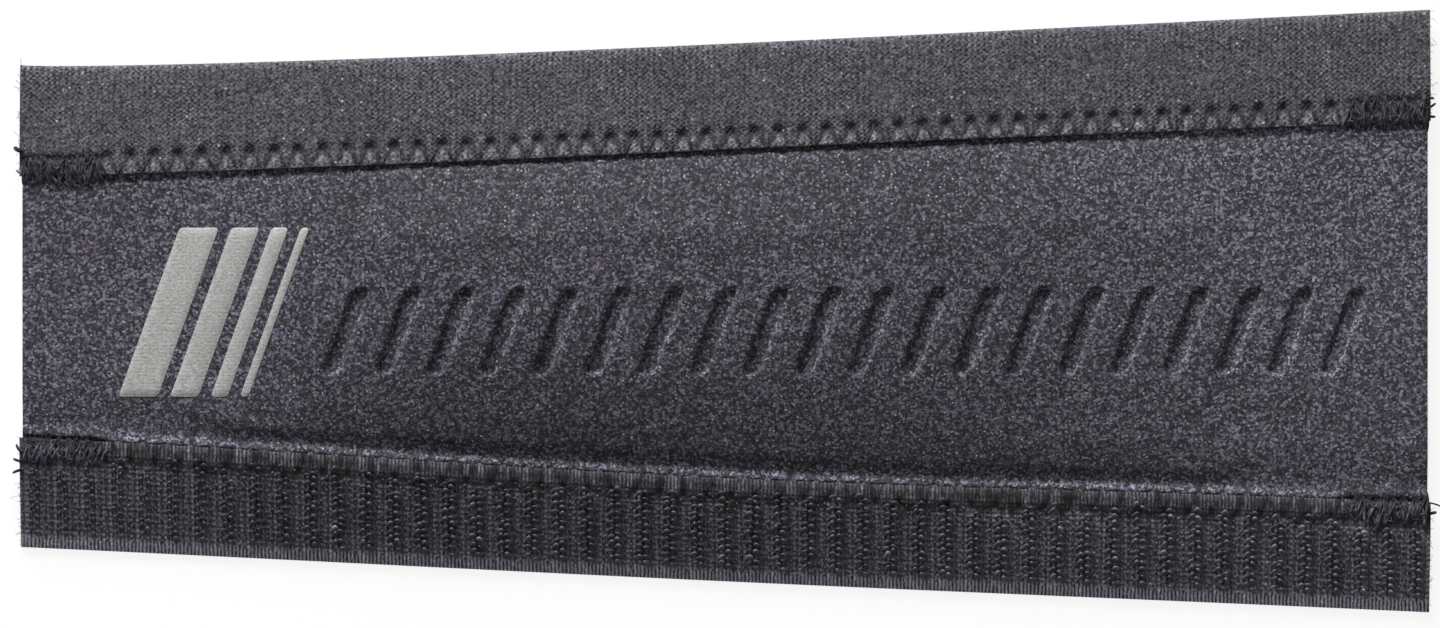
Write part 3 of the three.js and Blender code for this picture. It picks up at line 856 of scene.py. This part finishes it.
def make_hook_tape(finish):
    columns = np.linspace(-END_X, END_X, 2 * HOOK_RIBS + 1)
    distances = stops((0, 2.1, 0.35), (2.1, 6.3, 0.6), (6.3, 17.4, 1.1), (17.4, TAPE_WIDTH, 0.38))
    rng = np.random.default_rng(33)
    mean_reach = 1.95
    rib_reach = np.clip(rng.normal(mean_reach, 0.75, HOOK_RIBS + 1), 0.6, 3.4)
    rib_light = rng.choice((-0.5, -0.2, 0.4, 0.85, 1.5), HOOK_RIBS + 1)

    def selvage(distance):
        return np.maximum(fade(distance, 1.2, 2.9), outer_part(distance, 2.1, 1.6))

    def relief(x, distance):
        return 0.02 + 0.14 * selvage(distance) * (0.8 + 0.6 * waves_along(x, 1.9, 31))

    def tone(x, distance):
        rib_number = whole((x + END_X) / HOOK_RIB)
        reach = rib_reach[rib_number]
        inner = fade(distance - reach, -0.3, 0.5)
        outer = outer_part(distance, 2.2, 1.6)
        jagged = distance - 0.6 * (reach - mean_reach)
        # Mask of painted shade at the needle points, ragged along the ribs.
        needle_dip_shade = needle_dimple(x, jagged, HOOK_NEEDLE_REACH, 1.15, 1.4)
        lull = smooth(distance, 1.8, 3.0) * fade(distance, 3.8, 5.4)
        lull = lull * (1 + 2.4 * waves(x, distance, 3.1, 39))
        # Painted light in the hook field: the ground lightened where the hooks' shadows fall, most in the
        # hook columns and towards the wide end.
        field = smooth(jagged + 1.6 * waves_along(x, 3.7, 38), 3.4, 5.1)
        beside = np.abs(x / HOOK_PITCH - np.rint(x / HOOK_PITCH)) * HOOK_PITCH
        field = field * (0.8 + 0.7 * bump_at(beside, 0, 1.2))
        tone = 0.85 + inner * rib_light[rib_number] - 0.3 * lull
        tone = tone + (1.95 + 1.0 * smooth(x, -60, 90)) * field
        tone = tone + (3.1 + 1.2 * smooth(np.abs(x), 60, 125)) * outer
        # Painted shade where the hook tacks start.
        tone = tone * (1 - 0.6 * tack_pull(x, distance, HOOK_TACKS, 0.7, at_start=True))
        # Painted shade at the needle points and in the crevice along the tape's inner edge.
        return tone * (1 - 0.62 * needle_dip_shade) * (1 - 0.6 * fade(distance, 0, 0.6))

    return make_tape("hook_tape_weave", HOOK_SIDE, columns, distances, relief, tone,
                     lambda x, distance: selvage(distance), finish, "hook_tape")


# Hooks and pile: rows of small bent filaments

HOOK_SPREAD = 0.54  # half the width of one hook
HOOK_TALL = 0.76
HOOK_THICK = 0.54
HOOK_LEAN = 0.85  # towards the panel, for each mm of height
HOOK_ROW = 1.35
HOOK_FIELD_START = 2.7
HOOK_FIELD_END = 17.4
HOOK_COLUMNS = ((-0.58, 0.0, 1.0), (0.58, 0.5, 1.0), (1.95, 0.3, 0.5), (2.95, 0.8, 0.5))
PILE_SPREAD = 0.5
PILE_THICK = 0.16
PILE_PITCH = 1.25
PILE_ROW = 1.05


def filaments(count, thickness, spread, turn, steps, sides):
    """Mesh of filaments, all in one place, each bent over in an arc from its foot at -X to its tip at +X,
    and their X, Y and Z, a row for each."""
    bm = bmesh.new()
    bmesh.ops.create_circle(bm, cap_ends=False, segments=sides, radius=thickness / 2)
    bmesh.ops.translate(bm, vec=(-spread, 0, 0), verts=bm.verts)
    bmesh.ops.spin(bm, geom=bm.verts[:] + bm.edges[:], cent=(0, 0, 0), axis=(0, 1, 0),
                   angle=math.radians(turn), steps=steps, use_duplicate=False)
    close_tubes(bm, sides)
    mesh = copies_of(bm, count)
    return mesh, np.moveaxis(points_of(mesh).reshape(count, -1, 3), 2, 0)


def make_hooks(finish):
    """In each repeat, two staggered columns of hooks and two of low ends. HOOK_COLUMNS gives each one's
    place in X, its stagger in rows and its size."""
    rng = np.random.default_rng(41)
    rows = int((HOOK_FIELD_END - HOOK_FIELD_START) / HOOK_ROW) + 1
    feet = []
    for i in range(-25, 26):
        for place, stagger, size in HOOK_COLUMNS:
            for row in range(rows):
                x = i * HOOK_PITCH + place
                distance = HOOK_FIELD_START + (row + stagger) * HOOK_ROW
                beside_tack = abs(x) > END_X - TACK_LENGTH - 2 and distance < 5.2
                missing = beside_tack or rng.random() > 0.4 + 0.25 * (distance - HOOK_FIELD_START)
                if distance < HOOK_FIELD_END and abs(x) < END_X - 0.6 and not missing:
                    feet.append((x, distance, size, place))
    feet = np.array(feet)
    count = len(feet)
    mesh, (x, y, z) = filaments(count, HOOK_THICK, HOOK_SPREAD, 200, 6, 4)
    each = (count, 1)
    low_end = feet[:, 2:3] < 1
    tall = HOOK_TALL * rng.uniform(0.85, 1.1, each) * np.where(low_end, 0.45, 1)
    tall = tall * (0.8 + 0.2 * smooth(feet[:, :1], -110, -70))
    slant = np.where(feet[:, 3:] < 0, -0.3, 0.2) * (0.6 + 0.4 * smooth(feet[:, :1], 30, 110))
    turn = rng.normal(0, 0.12, each) + np.where(low_end, rng.normal(0.3, 0.9, each), slant)
    lean = -HOOK_LEAN * rng.uniform(0.6, 1.4, each)
    wide = rng.uniform(0.9, 1.12, each) * (0.6 + 0.4 * smooth(feet[:, :1], -115, -55))
    x = x * np.where(low_end, 0.42, wide)
    z = z * tall / HOOK_SPREAD
    foot_x = feet[:, :1] + rng.normal(0, 0.1, each)
    foot_d = feet[:, 1:2] + rng.normal(0, 0.1, each)
    place_x = np.clip(foot_x + x * np.cos(turn), -END_X + 0.1, END_X - 0.1)
    place_d = foot_d + 0.2 + y + lean * z + x * np.sin(turn)
    ground = hook_tape_top(foot_x, foot_d)
    set_points(mesh, on_tape(HOOK_SIDE, place_x, place_d, ground + z - 0.04).reshape(-1, 3))
    # Painted light: hooks lighter towards the wide end, and a few painted glints on single hooks.
    lit = 0.8 + 0.1 * smooth(foot_x, -110, -50) + 0.5 * smooth(foot_x, 0, 100)
    bright = rng.uniform(0.55, 1.3, each) * lit
    few = 0.985 - 0.03 * smooth(foot_x, 30, 110)
    bright = bright * np.where(rng.random(each) > few, 2.6, 1)
    add_attribute(mesh, "tone", np.broadcast_to(bright, z.shape).reshape(-1))
    return finish_piece(mesh, "hook_tape_hooks", finish)


def make_pile(finish):
    """Loops that hang under the loop tape, past the panel."""
    rng = np.random.default_rng(43)
    places = np.arange(-END_X + 0.8, END_X - 0.7, PILE_PITCH)
    rows = np.arange(TAPE_LEAVE + 1.4, TAPE_WIDTH - 0.5, PILE_ROW)
    feet = np.stack(np.meshgrid(places, rows), axis=-1).reshape(-1, 2)
    mesh, (x, y, z) = filaments(len(feet), PILE_THICK, PILE_SPREAD, 180, 5, 3)
    each = (len(feet), 1)
    turn = rng.uniform(0, 2 * np.pi, each)
    tall = rng.uniform(0.75, 1.0, each)
    foot_x = feet[:, :1] + rng.normal(0, 0.2, each)
    foot_d = feet[:, 1:] + rng.normal(0, 0.18, each)
    distance = foot_d + x * np.sin(turn) + y * np.cos(turn)
    distance = np.minimum(distance, TAPE_WIDTH - 0.1)
    x = np.clip(foot_x + x * np.cos(turn) - y * np.sin(turn), -END_X + 0.05, END_X - 0.05)
    ceiling = loop_tape_top(foot_x, foot_d) - TAPE_BASE
    z = ceiling - z / PILE_SPREAD * tall * (ceiling - 0.05)
    set_points(mesh, on_tape(LOOP_SIDE, x, distance, np.maximum(z, 0.03)).reshape(-1, 3))
    return finish_piece(mesh, "loop_tape_pile", finish)


# Seams

def needle_points(reach, seed):
    rng = np.random.default_rng(seed)
    number = np.arange(ZIGZAG_LEGS + 1)
    x = (number - ZIGZAG_LEGS / 2) * STITCH_PERIOD / 2
    distance = np.where(number % 2 == 0, reach, -NEEDLE_OVERSHOOT)
    x = x + rng.normal(0, 0.13, len(x))
    distance = distance + rng.normal(0, 0.13, len(x))
    return np.stack([x, distance], axis=1)


def leg_path(points, steps):
    """Places along the legs between needle points, with how near each is to a needle point, in mm."""
    shares = np.linspace(0, 1, steps, endpoint=False)
    legs = [first + (second - first) * shares[:, None] for first, second in zip(points[:-1], points[1:])]
    spans = np.linalg.norm(np.diff(points, axis=0), axis=1)
    near = [np.minimum(shares, 1 - shares) * span for span in spans]
    return np.concatenate(legs + [points[-1:]]), np.concatenate(near + [np.zeros(1)])


def seam_top(side, x, distance):
    """Surface of the tape, going down to the pinched panel past the tape's edge."""
    tape = tape_top(side, x, np.maximum(distance, 0.3))
    return PINCH_TOP + (tape - PINCH_TOP) * smooth(distance, -0.5, 0.15)


def finish_thread(bm, sides, node, ending, finish, tone=1.0):
    """Closes a thread's tubes and shows them in place of the part's solid thread. Tone is a number or
    a function of X and Y."""
    close_tubes(bm, sides)
    mesh = mesh_from(bm, node)
    x, y, _ = points_of(mesh).T
    add_attribute(mesh, "tone", tone(x, y) if callable(tone) else np.full(len(x), tone))
    finish_piece(mesh, node + ending, finish, [node])


def make_needle_thread(name, side, reach, seed, finish):
    places, near = leg_path(needle_points(reach, seed), 13)
    x, distance = places[:, 0], places[:, 1]
    x = x + 0.08 * waves(x, distance, 2.1, seed + 1)
    sunk, tone = (0.14, 0.55) if side is LOOP_SIDE else (0.3, 1.0)
    raised = 0.08 * waves_along(x, 3, seed) - sunk
    z = seam_top(side, x, distance) + raised - 0.2 * bump_at(near, 0, 0.25)
    bm = bmesh.new()
    add_tube(bm, on_tape(side, x, distance, z), THREAD * 0.6, 12, plies=3)
    finish_thread(bm, 12, name, "_zigzag", finish, tone)


def make_bobbin_thread(name, side, reach, seed, finish):
    places, near = leg_path(needle_points(reach, seed), 8)
    x, distance = places[:, 0], places[:, 1]
    z = BOBBIN_Z + 0.28 * bump_at(near, 0, 0.3)
    bm = bmesh.new()
    add_tube(bm, on_tape(side, x, distance, z), THREAD * 0.45, 8, plies=2)
    finish_thread(bm, 8, name, "_zigzag", finish)


def curl(start, way, length, lift, seed):
    """Free thread end that leaves a tack and curls a little."""
    rng = np.random.default_rng(seed)
    t = np.linspace(0, 1, 9)[:, None]
    side = np.array([-way[1], way[0]]) * rng.uniform(-0.5, 0.5)
    flat = np.array(start[:2]) + t * length * np.array(way) + t ** 2 * length * side
    height = start[2] + lift * np.sin(np.pi * t) - (start[2] - 0.4) * t ** 2 * 0.6
    return np.concatenate([flat, height], axis=1)


def lap_top(side, x, distance):
    """Top of the tape, and of the panel past the tape's edge."""
    panel = panel_height(x, across_tape(side, x, distance), 1.0)
    tape = tape_top(side, x, np.maximum(distance, 0.3))
    return panel + (tape - panel) * smooth(distance, -0.9, 0.3)


def drawn_tight(side, x, distance, start, end):
    """Straight line over the step at the tape's edge, as a tight throw takes."""
    first = lap_top(side, x, np.full_like(x, start))
    last = lap_top(side, x, np.full_like(x, end))
    return first + (last - first) * np.clip((distance - start) / (end - start), 0, 1)


TACK_PASSES = ((15, 0.8), (13, -1.3), (16, 1.5), (12, -0.5), (15, 0.4))  # legs, and their slant in mm
TACK_FIBRES = 110

# Free thread ends of each tack: start, heading, length, thickness
TAILS = {
    "loop_seam_tack_left": [
        ((-124.6, 28.4, 3.4), (-1, 0.1), 1.6, 0.8),
        ((-124.4, 24.2, 2.8), (-0.95, 0.3), 1.7, 0.32),
    ],
    "loop_seam_tack_right": [
        ((124.2, 37.6, 3.4), (0.9, 0.3), 1.7, 0.5),
        ((124.2, 35.6, 3.3), (0.8, 0.6), 2.4, 0.45),
        ((124.2, 34.9, 3.0), (0.8, -0.6), 1.8, 0.5),
    ],
    "hook_seam_tack_left": [
        ((-124.4, -25.2, 3.0), (-0.85, 0.5), 2.1, 0.5),
        ((-124.4, -26.6, 3.0), (-1, 0.0), 2.0, 0.5),
        ((-124.4, -28.0, 3.0), (-0.95, -0.2), 2.3, 0.5),
    ],
    "hook_seam_tack_right": [
        ((124.2, -33.9, 2.9), (1, -0.05), 3.0, 0.3),
        ((124.2, -36.0, 3.2), (0.95, 0.2), 2.2, 0.6),
    ],
}


def make_tack(name, side, way, span, seed, finish):
    """Bar tack: crossing passes of uneven zigzag over the end of a seam, with loose fibres."""
    rng = np.random.default_rng(seed)
    inner = END_X - TACK_END_INSET - TACK_LENGTH
    low, high = span
    end = END_X - 0.35
    bm = bmesh.new()
    for layer, (legs, slant) in enumerate(TACK_PASSES):
        x = way * (inner + TACK_LENGTH * np.linspace(0.01, 0.985, legs + 1))
        if layer % 2:
            x = x[::-1]
        far = (np.arange(legs + 1) + layer) % 2 == 0
        x = x + rng.normal(0, 0.5, legs + 1) + slant * far
        edge = np.where(far, low + rng.normal(0.3, 0.6, legs + 1), high + rng.normal(-0.4, 0.9, legs + 1))
        places, near = leg_path(np.stack([np.clip(x, -end, end), edge], axis=1), 11)
        px, distance = places[:, 0], places[:, 1]
        px = np.clip(px + 0.16 * waves(px, distance, 2.3, seed + layer), -end, end)
        lap = np.maximum(lap_top(side, px, distance), drawn_tight(side, px, distance, low, 1.6))
        z = lap + 0.05 + 0.09 * layer + 0.16 * waves(px, distance, 1.9, seed + 9 * layer)
        z = z - (0.6 + 0.1 * layer) * bump_at(near, 0, 0.75)
        add_tube(bm, on_tape(side, px, distance, z), THREAD / 2, 9, plies=3)
    for _ in range(TACK_FIBRES):
        x = way * (inner + rng.uniform(0, TACK_LENGTH - 0.4))
        distance = rng.uniform(low, high)
        turn, length = rng.uniform(0, 2 * np.pi), rng.uniform(0.5, 1.6)
        t = np.linspace(-0.5, 0.5, 5)
        fx = np.clip(x + t * length * np.cos(turn), -end, end)
        fd = distance + t * length * np.sin(turn) + rng.normal(0, 0.4) * t ** 2
        fz = lap_top(side, fx, fd) + rng.uniform(0.2, 0.7) - 1.2 * t ** 2
        add_tube(bm, on_tape(side, fx, fd, fz), rng.uniform(0.04, 0.09), 3)
    for number, (start, heading, length, thick) in enumerate(TAILS[name]):
        path = curl(start, heading, length, 0.35, seed * 10 + number)
        add_tube(bm, path, thick / 2, 9, taper=0.8)
    # Painted light and shade along each throw, from a factor at its start to one at its end: over 1
    # lightens a shaded end, under 1 darkens a lit one.
    painted_light_start, painted_light_end = (2.0, 0.55) if side is LOOP_SIDE else (0.25, 2.2)

    def tone(x, y):
        inner_edge, outer_edge = side[0](x), side[1](x)
        distance = (y - inner_edge) / (outer_edge - inner_edge) * TAPE_WIDTH
        along_throw = painted_light_start + (painted_light_end - painted_light_start) * smooth(distance, low + 0.5, high - 1.2)
        return np.where(np.abs(x) > END_X - 0.6, 0.3, along_throw)

    finish_thread(bm, 9, name, "_throws", finish, tone)


def make_fray(name, side, count, seed, finish):
    """Loose fibres at a tape's cut ends."""
    rng = np.random.default_rng(seed)
    bm = bmesh.new()
    for way in (-1, 1):
        for _ in range(count):
            distance = rng.uniform(0.3, TAPE_WIDTH - 0.3)
            x = way * (END_X - 0.2)
            length = rng.gamma(2.0, 0.26)
            turn = rng.normal(0, 0.7)
            bend = rng.normal(0, 0.5)
            t = np.linspace(0, 1, 5)
            fx = x + way * length * np.cos(turn) * t
            fy = across_tape(side, x, distance) + length * (np.sin(turn) * t + bend * t ** 2)
            root = float(tape_top(side, np.array(x), np.array(distance))) - rng.uniform(0.05, 0.5)
            fz = np.maximum(root + 0.2 * t * rng.normal(0, 1), 0.05)
            add_tube(bm, np.stack([fx, fy, fz], axis=1), rng.uniform(0.025, 0.045), 3)
    close_tubes(bm, 3)
    return finish_piece(mesh_from(bm, name), name, finish)


# Reflective bars

def make_film_bars(finish):
    row = sum(FILM_WIDTHS) + FILM_GAP * (len(FILM_WIDTHS) - 1)
    left = FILM_MIDDLE_X - row / 2
    for number, width in enumerate(FILM_WIDTHS, 1):
        bm = bmesh.new()
        bmesh.ops.create_grid(bm, x_segments=1, y_segments=1, size=0.5)
        bmesh.ops.scale(bm, vec=(width, FILM_HEIGHT, 1), verts=bm.verts)
        bmesh.ops.bevel(bm, geom=bm.verts[:], offset=FILM_CORNER, segments=6, profile=0.5, material=-1,
                        affect="VERTICES")
        raise_faces(bm, FILM_THICK)
        bmesh.ops.recalc_face_normals(bm, faces=bm.faces)
        top = [f for f in bm.faces if f.normal.z > 0.9]
        rim = [e for f in top for e in f.edges]
        bmesh.ops.bevel(bm, geom=rim, offset=0.06, segments=2, profile=0.5, material=-1, affect="EDGES")
        cuts = [((0, y, 0), (0, 1, 0)) for y in np.linspace(-13.5, 13.5, 19)]
        cuts += [((x, 0, 0), (1, 0, 0)) for x in np.arange(-width / 2 + 1.4, width / 2 - 1, 1.4)]
        for place, way in cuts:
            parts = bm.verts[:] + bm.edges[:] + bm.faces[:]
            bmesh.ops.bisect_plane(bm, geom=parts, plane_co=place, plane_no=way, dist=1e-5)
        name = f"reflective_bar_{number}"
        mesh = mesh_from(bm, name)
        points = points_of(mesh)
        points[:, 0] += left + width / 2 + points[:, 1] * SLANT
        points[:, 1] += FILM_Y
        points[:, 2] += panel_height(points[:, 0], points[:, 1], 1.0) - FILM_SUNK
        set_points(mesh, points)
        finish_piece(mesh, f"film_bar_{number}", finish, [name], sharp=30)
        left += width + FILM_GAP


# Stage

def aim(thing, place, target):
    away = np.array(place, float) - np.array(target, float)
    flat = math.hypot(away[0], away[1])
    heading = math.atan2(away[0], -away[1]) if flat > 1e-9 else 0
    thing.location = [value / METRE for value in place]
    thing.rotation_euler = (math.atan2(flat, away[2]), 0, heading)


def make_camera():
    camera = show("camera", bpy.data.cameras.new("camera"))
    camera.data.sensor_width = SENSOR
    camera.data.lens = SENSOR * CAMERA_HEIGHT / PHOTO_WIDTH_MM
    camera.data.clip_start = 0.01
    camera.data.clip_end = 20
    aim(camera, (*PHOTO_CENTRE, CAMERA_HEIGHT + PANEL_THICK), (*PHOTO_CENTRE, PANEL_THICK))
    bpy.context.scene.camera = camera


KEY_ELEVATION = 18  # degrees above the table
KEY_TURN = 15  # degrees from +Y towards the narrow end
KEY_DISTANCE = 1400
KEY_SIZE = 0.42
KEY_SHARE = 0.75  # of a flat white surface's brightness
AMBIENT = 0.25
WHITE = (1, 1, 1, 1)
FLOOR_Z = -0.05
FLOOR_SIZE = 4000


def make_lights():
    data = bpy.data.lights.new("key", "AREA")
    data.shape = "RECTANGLE"
    data.size = KEY_SIZE * 2
    data.size_y = KEY_SIZE
    elevation, turn = math.radians(KEY_ELEVATION), math.radians(KEY_TURN)
    distance = KEY_DISTANCE / METRE
    data.energy = KEY_SHARE * (math.pi * distance) ** 2 / math.sin(elevation)
    flat = math.cos(elevation)
    way = (-math.sin(turn) * flat, math.cos(turn) * flat, math.sin(elevation))
    aim(show("key", data), [part * KEY_DISTANCE for part in way], (0, 0, 0))


def shader(nodes, kind, **inputs):
    """Output of a new shader node with its inputs set."""
    made = nodes.new("ShaderNode" + kind)
    for key, value in inputs.items():
        made.inputs[key].default_value = value
    return made.outputs[0]


def joined(nodes, links, kind, *sources):
    """Output of a new node that takes the sources as its inputs, in order."""
    made = nodes.new("ShaderNode" + kind)
    for source, socket in zip(sources, made.inputs):
        links.new(source, socket)
    return made


def make_world():
    world = bpy.data.worlds.new("studio")
    bpy.context.scene.world = world
    world.use_nodes = True
    nodes, links = world.node_tree.nodes, world.node_tree.links
    nodes.clear()
    soft = shader(nodes, "Background", Color=WHITE, Strength=AMBIENT)
    white = shader(nodes, "Background", Color=WHITE, Strength=1)
    seen = nodes.new("ShaderNodeLightPath").outputs["Is Camera Ray"]
    mix = joined(nodes, links, "MixShader", seen, soft, white)
    joined(nodes, links, "OutputWorld", mix.outputs[0])


def make_floor():
    """Pale floor that takes shadow, plain white to camera, glossy and transmission rays."""
    bm = bmesh.new()
    bmesh.ops.create_grid(bm, x_segments=1, y_segments=1, size=FLOOR_SIZE)
    bmesh.ops.translate(bm, vec=(0, 0, FLOOR_Z), verts=bm.verts)
    mesh = mesh_from(bm, "floor")
    set_points(mesh, points_of(mesh) / METRE)
    material = bpy.data.materials.new("pale_floor")
    material.use_nodes = True
    nodes, links = material.node_tree.nodes, material.node_tree.links
    nodes.clear()
    plain = shader(nodes, "BsdfDiffuse", Color=(0.8, 0.8, 0.8, 1))
    faint = shader(nodes, "BsdfDiffuse", Color=(0.14, 0.14, 0.14, 1))
    glow = shader(nodes, "Emission", Color=WHITE, Strength=0.87)
    seen = joined(nodes, links, "AddShader", faint, glow)
    path = nodes.new("ShaderNodeLightPath").outputs
    either = joined(nodes, links, "Math", path["Is Camera Ray"], path["Is Glossy Ray"])
    direct = joined(nodes, links, "Math", either.outputs[0], path["Is Transmission Ray"])
    either.operation = direct.operation = "MAXIMUM"
    mix = joined(nodes, links, "MixShader", direct.outputs[0], plain, seen.outputs[0])
    joined(nodes, links, "OutputMaterial", mix.outputs[0])
    mesh.materials.append(material)
    show("floor", mesh)


def main():
    bpy.context.scene.view_settings.view_transform = "Standard"
    make_camera()
    make_lights()
    make_world()
    make_floor()
    thread = thread_finish()
    knit = loop_knit_finish()
    weave = hook_ground_finish()
    make_panel(jersey_finish())
    loop_tape = make_loop_tape(knit)
    hook_tape = make_hook_tape(weave)
    pile = make_pile(pile_finish())
    hooks = make_hooks(hook_finish())
    loop_fray = make_fray("loop_tape_fray", LOOP_SIDE, 70, 51, knit)
    hook_fray = make_fray("hook_tape_fray", HOOK_SIDE, 60, 52, weave)
    make_film_bars(film_finish())
    for make, ending in ((make_needle_thread, "thread"), (make_bobbin_thread, "bobbin_thread")):
        make("loop_seam_" + ending, LOOP_SIDE, LOOP_NEEDLE_REACH, 61, thread)
        make("hook_seam_" + ending, HOOK_SIDE, HOOK_NEEDLE_REACH, 62, thread)
    for seam, side, tacks in (("loop_seam", LOOP_SIDE, LOOP_TACKS), ("hook_seam", HOOK_SIDE, HOOK_TACKS)):
        for (place, way), span in zip((("left", -1), ("right", 1)), tacks):
            name = f"{seam}_tack_{place}"
            make_tack(name, side, way, span, 70 + len(name) + way, thread)


main()
